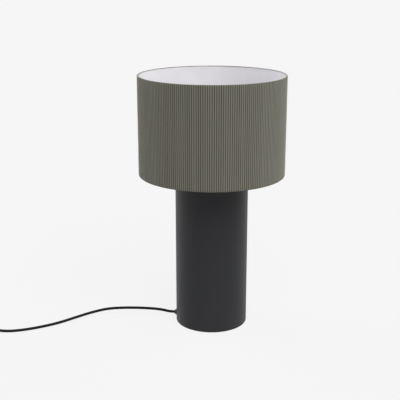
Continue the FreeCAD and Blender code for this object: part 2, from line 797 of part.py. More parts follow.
# Cord: hand-chosen points of its route. It springs clear of the table by the gland, then lies on it
cord = size["cord_radius"]
on_table = cord
first_run = 12
exit_point = exit_aim.multVec(Vector(-gland_reach, 0, exit_height))
exit_heading = exit_aim.multVec(Vector(-1, 0, 0))
switch_middle = Vector(size["switch_x"], size["switch_y"], size["switch_split"])
switch_reach = size["switch_length"] / 2
cord_entry = 10
last_run = 18
run_points = [
    exit_point,
    exit_point + exit_heading * first_run,
    Vector(-106, 12.8, 14.3),
    Vector(-130, 16.2, 15.6),
    Vector(-160, 19, 15.9),
    Vector(-194, 19.5, 15.7),
    Vector(-226, 16.4, 15),
    Vector(-258, 7, 10.8),
    Vector(-290, -8, 6),
    Vector(-324, -30.5, on_table),
    Vector(-358, -51, on_table),
    Vector(-392, -66, on_table),
    Vector(-425, -73.5, on_table),
    switch_middle + Vector(switch_reach - cord_entry + last_run, 0, 0),
    switch_middle + Vector(switch_reach - cord_entry, 0, 0),
]
run_tube, run_length = swept(rounded(run_points, "cord run"), cord)
node("cord_run", solid("cord_run", run_tube))

# Coil: spirals in along the table, climbs in the half turn where it reverses, and spirals out above
coil_centre = Vector(size["coil_x"], size["coil_y"], 0)
coil_step = 2 * cord + size["coil_gap"]
coil_turns = size["coil_turns"]
coil_inner = size["coil_inner"]
coil_outer = coil_inner + coil_step * coil_turns
coil_low = cord + size["tie_thick"] + size["tie_gap"]
coil_creep = coil_step / (2 * math.pi)
climb = 0.5
exit_radius = coil_inner + coil_step * (coil_turns + climb)
lead_in = math.atan(coil_creep / coil_outer)
lead_out = math.atan(coil_creep / exit_radius)
coil_total = 2 * coil_turns + 2 * climb + (lead_in + lead_out) / (2 * math.pi)


def coil_point(turn):
    """Radius shrinks steadily, dips through the climbing half turn, then grows steadily."""
    angle = math.pi - lead_in + 2 * math.pi * turn
    if turn <= coil_turns:
        radius = coil_outer - coil_step * turn
        height = coil_low
    elif turn <= coil_turns + climb:
        share = math.pi * (turn - coil_turns) / climb
        radius = coil_inner - coil_creep * math.sin(share)
        height = coil_low + coil_step * (1 - math.cos(share)) / 2
    else:
        radius = coil_inner + coil_step * (turn - coil_turns - climb)
        height = coil_low + coil_step
    return coil_centre + around(radius, angle, height)


def coil_heading(turn):
    """Unit tangent, from two nearby points."""
    nudge = 1e-4
    return (coil_point(turn + nudge) - coil_point(turn - nudge)).normalize()


def arc_between(start, corner, end):
    """The arc that is tangent to both legs of an even-legged corner."""
    middle = (start + end) * 0.5
    turn = (corner - start).getAngle(end - corner)
    sag = (end - start).Length / 2 * math.tan(turn / 4)
    return Part.Arc(start, middle + (corner - middle).normalize() * sag, end).toShape()


def biarc(start, start_heading, end, end_heading):
    """Two arcs that leave one point and reach another with the given headings."""
    chord = end - start
    both = start_heading + end_heading
    spread = 2 * (1 - start_heading.dot(end_heading))
    along = chord.dot(both)
    leg = (math.sqrt(along ** 2 + spread * chord.dot(chord)) - along) / spread
    near = start + start_heading * leg
    far = end - end_heading * leg
    joint = (near + far) * 0.5
    return [arc_between(start, near, joint), arc_between(joint, far, end)]


coil_stub = 2 * cord
spans_a_turn = 4
spans = round(coil_total * spans_a_turn)
stops = [coil_total * i / spans for i in range(spans + 1)]
coil_start = coil_point(0) - coil_heading(0) * coil_stub
coil_end = coil_point(coil_total) + coil_heading(coil_total) * coil_stub
coil_edges = [Part.LineSegment(coil_start, coil_point(0)).toShape()]
for here, there in zip(stops, stops[1:]):
    coil_edges += biarc(coil_point(here), coil_heading(here), coil_point(there), coil_heading(there))
coil_edges.append(Part.LineSegment(coil_point(coil_total), coil_end).toShape())
coil_tube, coil_length = swept(coil_edges, cord)
node("cord_coil", solid("cord_coil", coil_tube))

samples_a_turn = 48
samples = [coil_point(i / samples_a_turn) for i in range(int(coil_total * samples_a_turn) + 1)]
near_turns = [(a - b).Length for i, a in enumerate(samples) for b in samples[i + samples_a_turn // 2:]]
self_gap = min(near_turns) - 2 * cord
print("coil gap to itself", round(self_gap, 2))

# Cord between the switch and the coil
lead_points = [
    switch_middle - Vector(switch_reach - cord_entry, 0, 0),
    switch_middle - Vector(switch_reach - cord_entry + last_run, 0, 0),
    Vector(-548, -82, 5.8),
    Vector(-560, -97, 4.3),
    Vector(-564.5, -115, coil_low),
    coil_start - coil_heading(0) * last_run,
    coil_start,
]
link_tube, link_length = swept(rounded(lead_points, "cord link"), cord)
node("cord_link", solid("cord_link", link_tube))

# Plug: two round pins, a flat body and a tapered relief that the cord's tail runs into
tail_run = 9
plug_height = size["plug_thick"] / 2
tail_points = [
    coil_end,
    coil_end - Vector(0, tail_run, 0),
    Vector(coil_end.x, coil_end.y - 2 * tail_run, plug_height),
    Vector(coil_end.x, coil_end.y - 3 * tail_run, plug_height),
]
tail_tube, tail_length = swept(rounded(tail_points, "cord tail"), cord)
node("cord_tail", solid("cord_tail", tail_tube))
plug_place = Placement(tail_points[-1] - Vector(0, 0, plug_height), Rotation())
plug_body = doc.addObject("PartDesign::Body", "plug_block")
plug_sketch = sketch_on(plug_body, "XY_Plane", "plug_outline")
plug_back = "-relief_length"
plug_front = "-relief_length - plug_length"
polygon(plug_sketch, [
    ("-plug_waist / 2", plug_back),
    ("plug_waist / 2", plug_back),
    ("plug_width / 2", f"{plug_front} + plug_shoulder"),
    ("plug_width / 2", plug_front),
    ("-plug_width / 2", plug_front),
    ("-plug_width / 2", f"{plug_front} + plug_shoulder"),
])
plug_pad = plug_body.newObject("PartDesign::Pad", "plug_pad")
plug_pad.Profile = plug_sketch
bind(plug_pad, Length="plug_thick")
doc.recompute()
plug_fillet = plug_body.newObject("PartDesign::Fillet", "plug_fillet")
plug_fillet.Base = (plug_pad, [f"Edge{i + 1}" for i in range(len(plug_pad.Shape.Edges))])
bind(plug_fillet, Radius="plug_round")
plug_body.Tip = plug_fillet
plug_relief = doc.addObject("Part::Cone", "plug_relief")
bind(plug_relief, Radius1="relief_tip", Radius2="relief_base", Height="relief_length + plug_round")
along_plug = Rotation(Vector(0, 0, 1), Vector(0, -1, 0))
plug_relief.Placement = Placement(Vector(0, 0, plug_height), along_plug)
pin_sides = [side * size["pin_spacing"] / 2 for side in both_sides]
front_y = -size["relief_length"] - size["plug_length"]
pin_places = [Placement(Vector(x, front_y + size["pin_root"], plug_height), along_plug) for x in pin_sides]
sleeve_places = [Placement(Vector(x, front_y, plug_height), along_plug) for x in pin_sides]
pin_rod = cylinder("pin_rod", "pin_radius", "pin_root + pin_length")
neck_radius = "pin_radius - pin_sleeve_wall"
pin_neck = ring("pin_neck", "pin_radius", neck_radius, "pin_sleeve", "pin_root")
pin_metal = cut("pin_metal", pin_rod, pin_neck)
pin_bore = cylinder("pin_bore", "pin_radius + thread_gap", "pin_root")
pin_sheath = ring("pin_sheath", "pin_radius", f"{neck_radius} + thread_gap", "pin_sleeve", "0")
plug_whole = fuse("plug_whole", plug_body, plug_relief)
plug_bores = copies("plug_bores", pin_bore, pin_places)
node("plug_body", cut("plug_body", plug_whole, plug_bores), plug_place)
node("plug_pins", copies("plug_pins", pin_metal, pin_places), plug_place)
node("plug_sleeves", copies("plug_sleeves", pin_sheath, sleeve_places), plug_place)

# Coil tie: a flat strap round the turns, under and over them
strap_room = size["cord_radius"] + size["tie_gap"]
tie_near = coil_inner - coil_creep - strap_room
tie_far = exit_radius + strap_room
tie_inner_base = coil_low - strap_room
tie_inner_top = coil_low + coil_step + strap_room
strap = size["tie_thick"]


def tie_frame(margin):
    """A block round the section of the turns, larger all round by a margin."""
    corner = coil_centre + Vector(-size["tie_width"] / 2, tie_near - margin, tie_inner_base - margin)
    length = tie_far - tie_near + 2 * margin
    return Part.makeBox(size["tie_width"], length, tie_inner_top - tie_inner_base + 2 * margin, corner)


node("coil_tie", solid("coil_tie", tie_frame(strap).cut(tie_frame(0))))

# Switch: two round-ended shells that split on the cord's axis


def stadium(name, length, width, height, z):
    """A round-ended block along X at the switch's place."""
    middle = box(f"{name}_middle", f"{length} - ({width})", width, height, "switch_x", "switch_y", z)
    reach = f"({length} - ({width})) / 2"
    ends = [cylinder(f"{name}_end{i}", f"({width}) / 2", height, f"switch_x {sign} {reach}", "switch_y", z)
            for i, sign in enumerate("+-")]
    return fuse(name, middle, *ends)


post_y = "(switch_width / 2 - switch_wall - switch_post + switch_post_bite)"


def posts(name, radius, height, z):
    """Two round posts or holes at opposite corners of the switch."""
    spots = (("+", "-"), ("-", "+"))
    return [cylinder(f"{name}{i}", radius, height, f"switch_x {a} switch_post_x", f"switch_y {b} {post_y}", z)
            for i, (a, b) in enumerate(spots)]


inner_length = "switch_length - 2 * switch_wall"
inner_width = "switch_width - 2 * switch_wall"
channel_start = Placement(switch_middle - Vector(switch_reach, 0, 0), Rotation(Z_AXIS, Vector(1, 0, 0)))
cord_channel = cylinder("cord_channel", "cord_radius + cord_gap", "switch_length", at=channel_start)
lower_block = stadium("lower_block", "switch_length", "switch_width", "switch_split", "0")
lower_room = stadium("lower_room", inner_length, inner_width, "switch_split - switch_wall", "switch_wall")
lower_shell = cut("lower_shell", lower_block, lower_room, cord_channel)
lower_posts = fuse("lower_posts", lower_shell, *posts("lower_post", "switch_post", "switch_split", "0"))
node("switch_lower", cut(
    "switch_lower", lower_posts,
    *posts("lower_hole", "switch_screw + hole_gap", "switch_split", "0"),
    *posts("lower_sink", "switch_screw_head + hole_gap", "switch_screw_sink", "0"),
))
head_base = "switch_screw_sink / 2"
shank_length = "switch_height - switch_screw_cover - switch_screw_sink"
screw_pieces = []
for shank, head in zip(posts("switch_shank", "switch_screw", shank_length, head_base),
                       posts("switch_head", "switch_screw_head", head_base, head_base)):
    screw_pieces.append(fuse(f"{shank.Name}_whole", shank, head))
switch_screws = doc.addObject("Part::Compound", "switch_screws")
switch_screws.Links = screw_pieces
node("switch_screws", switch_screws)

# Upper shell: holds the rocker in a thick frame round its window
upper_height = "switch_height - switch_split"
upper_block = stadium("upper_block", "switch_length", "switch_width", upper_height, "switch_split")
upper_room = stadium("upper_room", inner_length, inner_width, f"{upper_height} - switch_wall", "switch_split")
upper_shell = cut("upper_shell", upper_block, upper_room, cord_channel)
frame_length = "rocker_length + 2 * rocker_gap + 2 * frame_margin"
frame_width = "rocker_width + 2 * rocker_gap + 2 * frame_margin"
rocker_frame = box("rocker_frame", frame_length, frame_width, "frame_depth", "switch_x", "switch_y",
                   "switch_height - frame_depth")
upper_whole = fuse("upper_whole", upper_shell, rocker_frame,
                   *posts("upper_post", "switch_post", upper_height, "switch_split"))
rocker_window = box("rocker_window", "rocker_length + 2 * rocker_gap", "rocker_width + 2 * rocker_gap",
                    "switch_height", "switch_x", "switch_y", "switch_split")
bearing_half = size["rocker_width"] / 2 + size["rocker_gap"] + size["rocker_pin_length"]
rocker_middle = Vector(size["switch_x"], size["switch_y"], size["switch_height"] - size["rocker_drop"])
across = Rotation(Z_AXIS, Vector(0, 1, 0))
rocker_bearing = cylinder("rocker_bearing", "rocker_pin + rocker_pin_gap",
                          "rocker_width + 2 * rocker_gap + 2 * rocker_pin_length",
                          at=Placement(rocker_middle - Vector(0, bearing_half, 0), across))
node("switch_upper", cut(
    "switch_upper", upper_whole, rocker_window, rocker_bearing,
    *posts("upper_hole", "switch_screw + thread_gap", f"{upper_height} - switch_screw_cover", "switch_split"),
))

# Rocker: a dished bar on two stub pins, resting with one end pressed down
half = size["rocker_length"] / 2
rocker_side = [
    Vector(-half, 0, -size["rocker_depth"] / 4),
    Vector(0, 0, -size["rocker_depth"]),
    Vector(half, 0, -size["rocker_depth"] / 4),
    Vector(half, 0, size["rocker_rise"]),
    Vector(0, 0, size["rocker_rise"] - size["rocker_dish"]),
    Vector(-half, 0, size["rocker_rise"]),
]
sideways = Vector(0, size["rocker_width"] / 2, 0)
rocker_bar = extruded("rocker_bar", [p - sideways for p in rocker_side], size["rocker_width"],
                      Vector(0, 1, 0))
rocker_pin = cylinder("rocker_pin_rod", "rocker_pin",
                      "rocker_width + 2 * rocker_gap + 2 * rocker_pin_length - 2 * hole_gap",
                      at=Placement(Vector(0, size["hole_gap"] - bearing_half, 0), across))
rocker_place = Placement(rocker_middle, Rotation(Vector(0, 1, 0), size["rocker_tilt"]))
node("switch_rocker", fuse("switch_rocker", rocker_bar, rocker_pin), rocker_place)

# Switch terminals: two upright metal strips on the lower shell's floor
strip_piece = box("strip_piece", "terminal_strip", "terminal_strip_thick", "terminal_strip_height",
                  z="switch_wall")
strip_offset = Vector(0, size["rocker_width"] / 2, 0)
strip_middle = Vector(size["switch_x"], size["switch_y"], 0)
strip_spots = [Placement(strip_middle + strip_offset * side, Rotation()) for side in both_sides]
node("switch_strips", copies("switch_strips", strip_piece, strip_spots))

# Check every object and every sub-part, then write the sub-parts
doc.recompute()
for thing in doc.Objects:
    assert "Invalid" not in thing.State and "Error" not in thing.State, f"{thing.Name} failed"
for label, thing in NODES:
    assert not thing.Shape.isNull() and thing.Shape.isValid(), f"{label} has no valid shape"
    assert thing.Shape.Solids, f"{label} has no solid"
    thing.Shape.exportStep(f"parts/{label}.step")
through_switch = 2 * (switch_reach - cord_entry)
cord_length = run_length + through_switch + link_length + coil_length + tail_length
print("cord length on the table", round(cord_length), "of which in the coil", round(coil_length))
print("nodes", len(NODES))
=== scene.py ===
import math

import bmesh
import bpy
import numpy as np
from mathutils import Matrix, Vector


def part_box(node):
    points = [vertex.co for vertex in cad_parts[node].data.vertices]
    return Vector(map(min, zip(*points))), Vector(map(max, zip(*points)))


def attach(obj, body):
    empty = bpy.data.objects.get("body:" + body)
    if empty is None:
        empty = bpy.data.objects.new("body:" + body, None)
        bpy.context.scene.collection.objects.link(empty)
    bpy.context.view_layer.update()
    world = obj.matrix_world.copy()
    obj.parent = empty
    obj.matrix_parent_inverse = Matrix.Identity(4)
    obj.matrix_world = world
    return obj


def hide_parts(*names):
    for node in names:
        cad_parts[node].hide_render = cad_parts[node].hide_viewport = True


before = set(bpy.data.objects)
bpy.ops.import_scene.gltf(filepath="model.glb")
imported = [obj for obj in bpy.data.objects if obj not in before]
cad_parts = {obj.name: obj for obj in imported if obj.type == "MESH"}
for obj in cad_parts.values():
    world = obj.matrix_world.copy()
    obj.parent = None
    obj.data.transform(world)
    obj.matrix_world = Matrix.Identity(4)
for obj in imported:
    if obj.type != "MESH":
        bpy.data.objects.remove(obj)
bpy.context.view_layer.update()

# Body tube: rolled steel, 150 mm across, its rims dressed round and a pressed plate welded into its top.
# Tube and plate are sprayed with a fine matt powder coat, anthracite, which wears thin along the rims.


class Signal:
    """One shader socket. Arithmetic on it adds Math nodes, and node() adds any other node."""

    def __init__(self, tree, socket=None):
        self.tree = tree
        self.socket = socket

    def feed(self, made, sockets):
        """Link or set a node's sockets."""
        for key, value in sockets.items():
            if isinstance(value, Signal):
                self.tree.links.new(value.socket, made.inputs[key])
            else:
                made.inputs[key].default_value = value

    def node(self, kind, settings=None, sockets=None, out=0):
        """Add a node: its settings first, then its sockets. Gives one of its outputs."""
        made = self.tree.nodes.new(kind)
        for name, value in (settings or {}).items():
            setattr(made, name, value)
        self.feed(made, sockets or {})
        return Signal(self.tree, made.outputs[out])

    def math(self, operation, *others):
        """Any Math node with this value first."""
        return self.node("ShaderNodeMath", {"operation": operation}, dict(enumerate((self, *others))))

    def __add__(self, other):
        return self.math("ADD", other)

    def __mul__(self, other):
        return self.math("MULTIPLY", other)

    def __sub__(self, other):
        return self.math("SUBTRACT", other)

    def __rsub__(self, other):
        return self * -1 + other

    __radd__ = __add__
    __rmul__ = __mul__

    def ramp(self, low, high):
        """0 below low, 1 above high, smooth between; falls where low is the larger."""
        ends = {"Value": self, "From Min": low, "From Max": high}
        return self.node("ShaderNodeMapRange", {"interpolation_type": "SMOOTHSTEP"}, ends)

    def mix(self, first, second):
        """The first colour at 0, the second at 1."""
        return self.node("ShaderNodeMix", {"data_type": "RGBA"}, {0: self, 6: first, 7: second}, out=2)


def new_finish(name, constants):
    """A material, its shader with constant sockets set, and a Signal that adds nodes to it."""
    material = bpy.data.materials.new(name)
    material.use_nodes = True
    shader = material.node_tree.nodes["Principled BSDF"]
    paint = Signal(material.node_tree)
    paint.feed(shader, constants)
    return material, shader, paint


def own_place(paint):
    """The piece's Object coordinates, in metres."""
    return paint.node("ShaderNodeTexCoord", out="Object")


def axis_of(paint, vector, axis):
    """One axis of a vector."""
    return paint.node("ShaderNodeSeparateXYZ", None, {0: vector}, out=axis)


def noise(paint, where, scale, detail=2.0):
    """Blender's own noise, about 0.5 on average."""
    return paint.node("ShaderNodeTexNoise", None, {"Vector": where, "Scale": scale, "Detail": detail})


def raised(paint, height, distance):
    """A normal bumped by a height that is worth so many metres at 1."""
    return paint.node("ShaderNodeBump", None, {"Height": height, "Distance": distance, "Strength": 1.0})


def quads(name, grids, material, body, rows_meet=False, uv=None):
    """Mesh of quads between the neighbours of each (rows, columns, 3) grid of points.

    The last column joins the first, and so does the last row where rows meet. Points that fall together
    are merged, so a row of equal points closes as a pole. uv gives one more u than columns and one v a row.
    """
    points = np.concatenate([grid.reshape(-1, 3) for grid in grids])
    faces = []
    start = 0
    for grid in grids:
        rows, columns = grid.shape[:2]
        index = start + np.arange(rows * columns).reshape(rows, columns)
        index = np.concatenate([index, index[:, :1]], 1)
        if rows_meet:
            index = np.concatenate([index, index[:1]], 0)
        corners = (index[:-1, :-1], index[:-1, 1:], index[1:, 1:], index[1:, :-1])
        faces.append(np.stack(corners, -1).reshape(-1, 4))
        start += rows * columns
    mesh = bpy.data.meshes.new(name)
    mesh.from_pydata(points, [], np.concatenate(faces))
    if uv is not None:
        spots = np.stack(np.meshgrid(*uv), -1)
        loops = np.stack((spots[:-1, :-1], spots[:-1, 1:], spots[1:, 1:], spots[1:, :-1]), 2)
        mesh.uv_layers.new(name="weave").data.foreach_set("uv", loops.astype(np.float32).ravel())
    work = bmesh.new()
    work.from_mesh(mesh)
    bmesh.ops.remove_doubles(work, verts=work.verts, dist=1e-6)
    bmesh.ops.recalc_face_normals(work, faces=work.faces)
    work.to_mesh(mesh)
    work.free()
    mesh.shade_smooth()
    mesh.materials.append(material)
    piece = bpy.data.objects.new(name, mesh)
    bpy.context.scene.collection.objects.link(piece)
    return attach(piece, body)


def wrapped(radius, angle, height):
    """Grid of points round the Z axis: radius times the angle's cosine and sine, at each row's height."""
    radius, angle, height = np.broadcast_arrays(radius, angle, np.reshape(height, (-1, 1)))
    return np.stack([radius * np.cos(angle), radius * np.sin(angle), height], -1)


def turned(profile, columns=192):
    """Grid of a (radius, height) profile carried once round the Z axis."""
    radius, height = np.asarray(profile, float).T
    return wrapped(radius[:, None], np.linspace(0, 2 * np.pi, columns, endpoint=False), height)


def rim(radius, height, size, start, end, points=5):
    """(radius, height) points of a small arc about a centre, between two angles in degrees."""
    turn = np.radians(np.linspace(start, end, points))
    return np.stack([radius + size * np.cos(turn), height + size * np.sin(turn)], -1)


def wall_profile(bore, radius, foot, top, corner, points=5, between=()):
    """Closed profile of a round wall from its foot inside to its top inside, with four rounded corners.

    between gives the heights of more rows up its outer face.
    """
    inner, outer, low, high = bore + corner, radius - corner, foot + corner, top - corner
    face = np.stack([np.full(len(between), radius), between], -1)
    return np.concatenate([
        rim(inner, low, corner, 180, 270, points), rim(outer, low, corner, 270, 360, points), face,
        rim(outer, high, corner, 0, 90, points), rim(inner, high, corner, 90, 180, points),
    ])


def foot_and_top(node):
    """The heights between which a CAD node stands."""
    return [corner[2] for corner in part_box(node)]


tube_radius = 0.075
tube_bore = 0.0738
tube_foot, tube_top = foot_and_top("body_tube")
tube_corner = 0.0005
tube_rows = np.linspace(0.01, 0.32, 12)
wear_width = 0.004
coat_colour = (0.0258, 0.0264, 0.0294, 1)
coat_worn = (0.040, 0.040, 0.041, 1)
coat_grain = 0.00006
powder_coat, shader, paint = new_finish("powder_coat", {"Specular IOR Level": 0.25})
where = own_place(paint)
height = axis_of(paint, where, "Z")
cloud = noise(paint, where, scale=14, detail=3)
grain = noise(paint, where, scale=1500)
near_rim = height.ramp(tube_foot + wear_width, tube_foot) + height.ramp(tube_top - wear_width, tube_top)
worn = near_rim * noise(paint, where, scale=90, detail=4).ramp(0.45, 0.75)
paint.feed(shader, {
    "Base Color": (worn * 0.6 + cloud * 0.12).mix(coat_colour, coat_worn),
    "Roughness": cloud * 0.1 + grain * 0.08 + 0.42,
    "Normal": raised(paint, grain, coat_grain),
})
tube_profile = wall_profile(tube_bore, tube_radius, tube_foot, tube_top, tube_corner, between=tube_rows)
body = quads("lamp_body", [turned(tube_profile)], powder_coat, "lamp", rows_meet=True)
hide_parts("body_tube")


def dress(material, *names):
    """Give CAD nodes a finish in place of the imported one."""
    for name in names:
        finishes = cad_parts[name].data.materials
        finishes.clear()
        finishes.append(material)


dress(powder_coat, "top_plate")

# Base: a zinc-plated plate screwed up to lugs welded inside the tube, under a cast-iron ballast disc.
# A thin black rubber disc under the plate holds the tube's rim just off the table.


def grey(level):
    """A linear grey."""
    return (level, level, level, 1.0)


def metal(name, colour, roughness, streak, scale):
    """Plated or bare metal: clouded colour, and marks of a scale, stretched round or along the piece."""
    material, shader, paint = new_finish(name, {"Metallic": 1.0})
    where = own_place(paint)
    drawn = paint.node("ShaderNodeMapping", None, {"Vector": where, "Scale": (1, 1, streak)})
    marks = noise(paint, drawn, scale, detail=3)
    cloud = noise(paint, where, scale=60, detail=3)
    dull = tuple(0.72 * part for part in colour[:3]) + (1.0,)
    paint.feed(shader, {
        "Base Color": (cloud * 0.7 + marks * 0.3).ramp(0.75, 0.25).mix(colour, dull),
        "Roughness": marks * 0.18 + cloud * 0.1 + (roughness - 0.14),
        "Normal": raised(paint, marks, 0.00002),
    })
    return material


def moulded(name, colour, roughness, scale, depth):
    """Moulded plastic, rubber or a casting: a grain of a scale and depth, and a slightly uneven tone."""
    material, shader, paint = new_finish(name, {})
    where = own_place(paint)
    grain = noise(paint, where, scale, detail=3)
    cloud = noise(paint, where, scale=45)
    pale = tuple(min(1.0, 1.35 * part + 0.004) for part in colour[:3]) + (1.0,)
    paint.feed(shader, {
        "Base Color": (cloud * 0.6 + grain * 0.4).ramp(0.3, 0.8).mix(colour, pale),
        "Roughness": grain * 0.16 + cloud * 0.08 + (roughness - 0.12),
        "Normal": raised(paint, grain, depth),
    })
    return material


zinc_plate = metal("zinc_plate", (0.56, 0.57, 0.58, 1), roughness=0.36, streak=0.2, scale=700)
cast_iron = moulded("cast_iron", (0.06, 0.058, 0.056, 1), roughness=0.7, scale=420, depth=0.0003)
foot_rubber = moulded("foot_rubber", grey(0.018), roughness=0.85, scale=1600, depth=0.0001)
dress(zinc_plate, "base_plate", "base_screws", "weight_screws", "tube_lugs")
dress(cast_iron, "base_weight")
dress(foot_rubber, "foot_pad")

# Cord gland: a black nylon strain relief that snaps into a hole low in the tube's wall and grips the lead.
# Inside, the lead runs on along the ballast's groove and up the middle of the body to the lampholder.
black_nylon = moulded("black_nylon", grey(0.012), roughness=0.42, scale=2200, depth=0.00004)
dress(black_nylon, "cord_gland")

jacket_black = grey(0.005)
jacket_scuffed = grey(0.010)
cord_jacket, shader, paint = new_finish("cord_jacket", {"Specular IOR Level": 0.12})
where = own_place(paint)
scuff = noise(paint, where, scale=300, detail=4)
paint.feed(shader, {
    "Base Color": scuff.ramp(0.5, 0.8).mix(jacket_black, jacket_scuffed),
    "Roughness": scuff * 0.2 + 0.5,
    "Normal": raised(paint, noise(paint, where, scale=2600), 0.00003),
})


def cord_curve(name, route, radius, material):
    """One open spline with the route as its control points, round in section."""
    curve = bpy.data.curves.new(name, "CURVE")
    curve.dimensions = "3D"
    spline = curve.splines.new("NURBS")
    spline.points.add(len(route) - 1)
    spline.points.foreach_set("co", np.column_stack([route, np.ones(len(route))]).ravel())
    spline.order_u = 3
    spline.use_endpoint_u = True
    curve.resolution_u = 8
    curve.bevel_depth = radius
    curve.bevel_resolution = 4
    curve.use_fill_caps = True
    curve.materials.append(material)
    piece = bpy.data.objects.new(name, curve)
    bpy.context.scene.collection.objects.link(piece)
    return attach(piece, "lamp")


cord_radius = 0.0029
cord_exit = (-0.07926, 0.00833, 0.0114)
inner_route = [
    cord_exit, (-0.042, 0.0044, 0.0114), (-0.020, 0.0021, 0.0114), (-0.0045, 0.0005, 0.0124),
    (-0.0003, 0.0, 0.0164), (0, 0, 0.032), (0, 0, 0.06), (0, 0, 0.342),
]
inner_lead = cord_curve("lead_inside", inner_route, cord_radius, cord_jacket)
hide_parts("inner_lead")

# Lampholder: a screwed fixing tube carries a two-part black thermoplastic holder.
# Inside it are a brass side sleeve, a spring contact and two clamped, insulated cores.
brass = metal("brass", (0.72, 0.52, 0.24, 1), roughness=0.3, streak=0.3, scale=900)
core_sheath = moulded("core_sheath", (0.12, 0.22, 0.5, 1), roughness=0.5, scale=1500, depth=0.00003)
holder_plastic = moulded("holder_plastic", grey(0.016), roughness=0.45, scale=1800, depth=0.00005)
dress(zinc_plate, "nipple", "nipple_nut", "nipple_washer")
dress(holder_plastic, "holder_cap", "holder_insert", "holder_shell", "shade_ring")
dress(brass, "centre_contact", "screw_sleeve", "terminal_screws")
dress(core_sheath, "lead_cores")

# Shade frame: a flat steel band keeps the upper rim round, and a wire hoop the lower one.
# Three bent arms are welded to the hoop and to a flat ring, which the holder's screwed ring clamps.
# All of it is coated white.
wire_coat = moulded("wire_coat", grey(0.78), roughness=0.4, scale=900, depth=0.00004)
dress(wire_coat, "top_band", "bottom_hoop", "spider_arms", "fitter_ring")

# Lining: a stiff, smooth white sheet, 0.6 mm thick, rolled into a drum inside the cloth.
# Its ends are lapped by 12 mm and glued on the viewer's side.
lining_outer = 0.1471
lining_inner = 0.1465
lining_foot, lining_top = foot_and_top("shade_lining")
lining_corner = 0.0002
lining_columns = 480
lap_start = 1.5 * np.pi
lap_width = 0.012
lap_step = 0.0003
lining_shaded = (0.805, 0.79, 0.825, 1)
lining_bright = (0.835, 0.82, 0.855, 1)
lining_white, shader, paint = new_finish("lining_white", {"Specular IOR Level": 0.35})
where = own_place(paint)
mottle = noise(paint, where, scale=30, detail=3)
paint.feed(shader, {
    "Base Color": mottle.ramp(0.3, 0.7).mix(lining_shaded, lining_bright),
    "Roughness": mottle * 0.12 + 0.46,
    "Normal": raised(paint, noise(paint, where, scale=1100), 0.00003),
})
lining_profile = wall_profile(lining_inner, lining_outer, lining_foot, lining_top, lining_corner, points=3)
lining_grid = turned(lining_profile, lining_columns)
# the inner points stand in by one step along the lap
lap_place = (np.linspace(0, 2 * np.pi, lining_columns, endpoint=False) - lap_start) * lining_inner
lap = np.where((lap_place >= 0) & (lap_place <= lap_width), lap_step, 0.0)
is_inner = (lining_profile[:, 0] < (lining_inner + lining_outer) / 2)[:, None]
lining_grid[..., :2] *= (1 - np.where(is_inner, lap[None, :], 0.0) / lining_inner)[..., None]
lining = quads("lining_drum", [lining_grid], lining_white, "shade", rows_meet=True)
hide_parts("shade_lining")

# Shade cover: olive grey ribbed cloth stretched round the lining, its edges turned in over the lining's ends
# and its joint at the back. The ribs stand upright, a little uneven in width and height, with deep narrow
# furrows between them, whose colour is painted much darker as shade.
rib_count = 222
rib_samples = 10
rib_rise = 0.00118
rib_spread = 0.14
rib_swell = 0.04
rib_sway = 0.00004
cover_foot, cover_top = foot_and_top("shade_cover")
cover_high = cover_top - cover_foot
cover_crest = 0.15
cover_root = 0.1488
cover_back = 0.1478
edge_round = 0.0012
edge_least = 0.25
shortest_wave = 0.05
wave_spread = 0.12
joint_angle = 0.5 * np.pi
joint_half = 0.007
joint_rise = 0.0006
joint_fade = 0.003
hem_reach = 0.1466
hem_thick = 0.0004
hem_bead = np.array([
    (0.0004, 0.00015), (0.0006, 0.0005), (0.0005, 0.0007), (0.0002, 0.0007), (0.00015, 0.0004),
])

cloth_rng = np.random.default_rng(7)
rib_along = np.arange(rib_count * rib_samples) / rib_samples
rib_number = rib_along.astype(int)
crown = np.sqrt(1 - (2 * (rib_along % 1) - 1) ** 2)
edge_rows = np.array([0, edge_round / 3, edge_round])
rows_up = np.concatenate([
    edge_rows, np.linspace(5 * edge_round, cover_high - 5 * edge_round, 18), cover_high - edge_rows[::-1],
])
edge_turn = np.clip(np.minimum(rows_up, cover_high - rows_up) / edge_round, 0, 1)
edge_turn = edge_least + (1 - edge_least) * np.sqrt(1 - (1 - edge_turn) ** 2)
rib_size = 1 - rib_spread * cloth_rng.random(rib_count)
wave_start = cloth_rng.random((2, rib_count)) * 2 * np.pi
wave_length = shortest_wave + wave_spread * cloth_rng.random((2, rib_count))
sway = np.sin(2 * np.pi * rows_up[:, None] / wave_length[0] + wave_start[0])[:, rib_number]
swell = np.sin(2 * np.pi * rows_up[:, None] / wave_length[1] + wave_start[1])[:, rib_number]
turn = rib_along * 2 * np.pi / rib_count
joint_place = (turn - joint_angle) * cover_root
joint = joint_rise * np.clip((joint_place + joint_half) / joint_rise, 0, 1)
joint *= np.clip((joint_half - joint_place) / joint_fade, 0, 1)
# the root plus each rib's half-round rise, which varies from rib to rib and slightly along each
rib_height = rib_rise * rib_size[rib_number] * (1 - rib_swell + rib_swell * swell)
radius_rows = cover_root + rib_height * crown * edge_turn[:, None] + joint
turn_rows = turn + (rib_sway / cover_root) * sway * crown
